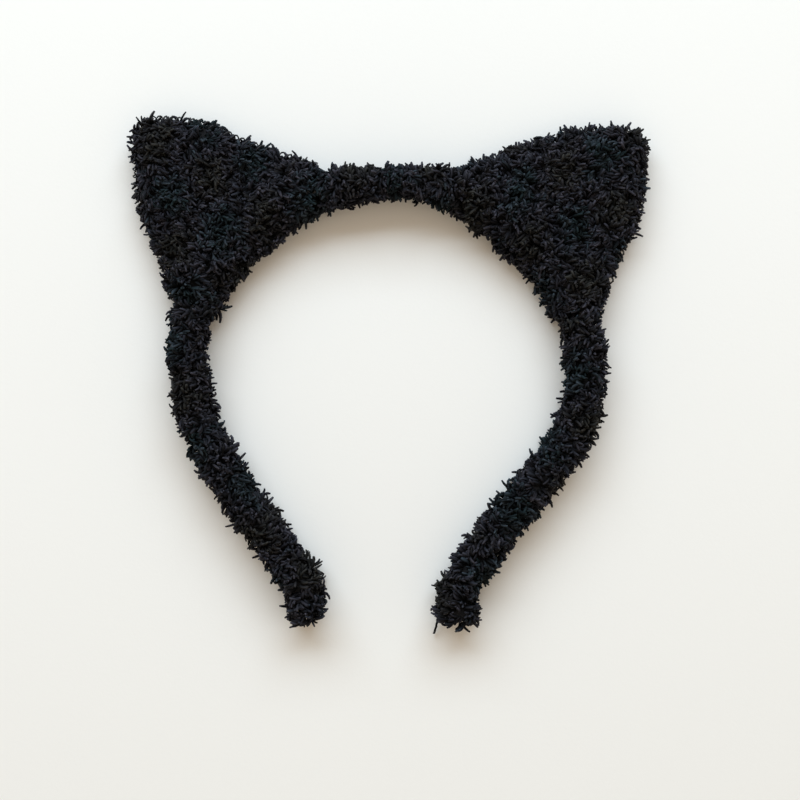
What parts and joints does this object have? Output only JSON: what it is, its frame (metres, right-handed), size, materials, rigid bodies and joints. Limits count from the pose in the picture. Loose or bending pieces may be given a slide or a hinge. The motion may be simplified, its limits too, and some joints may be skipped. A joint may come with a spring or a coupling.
{
  "type": "animal ears headband",
  "caption": "Cat-ear headband: a springy strip wound with black pile yarn, with wired and padded knitted ears sewn over it as sleeves.",
  "frame": {"origin": "centre of the whole headband's plan, on the surface it lies on", "axes": "+Z from the back of the headband up to its front face, +Y from the tips towards the crown and the ears, +X across from the left ear to the right ear"},
  "size_m": [0.169, 0.1654, 0.014],
  "materials": {
    "pile_yarn": "black chenille pile yarn, matt with a soft sheen",
    "pile_knit": "knitted black pile yarn, matt with a soft sheen",
    "strip_plastic": "moulded black plastic, satin",
    "hot_melt_glue": "cloudy hot-melt glue",
    "wire_steel": "drawn craft wire",
    "wadding": "white polyester wadding",
    "sewing_thread": "twisted black sewing yarn"
  },
  "bodies": {
    "crown": {"core_crown": "strip_plastic", "wrap_crown": "pile_yarn"},
    "left_side": {"core_left": "strip_plastic", "glue_cap_left": "hot_melt_glue", "wrap_arm_left": "pile_yarn", "ear_wire_left": "wire_steel", "wire_binding_left": "sewing_thread", "ear_padding_left": "wadding", "ear_back_left": "pile_knit", "ear_front_left": "pile_knit", "edge_seam_left": "sewing_thread", "base_stitches_left": "sewing_thread"},
    "right_side": {"core_right": "strip_plastic", "glue_cap_right": "hot_melt_glue", "wrap_arm_right": "pile_yarn", "ear_wire_right": "wire_steel", "wire_binding_right": "sewing_thread", "ear_padding_right": "wadding", "ear_back_right": "pile_knit", "ear_front_right": "pile_knit", "edge_seam_right": "sewing_thread", "base_stitches_right": "sewing_thread"}
  },
  "joints": [
    {"name": "left_flex", "type": "hinge", "parent": "crown", "child": "left_side", "pos_m": [-0.02097, 0.05944, 0.007], "axis": [0, 0, -1], "range_deg": [-4, 12], "stiffness_Nm_per_rad": 1.3},
    {"name": "right_flex", "type": "hinge", "parent": "crown", "child": "right_side", "pos_m": [0.02097, 0.05944, 0.007], "axis": [0, 0, 1], "range_deg": [-4, 12], "stiffness_Nm_per_rad": 1.3}
  ]
}
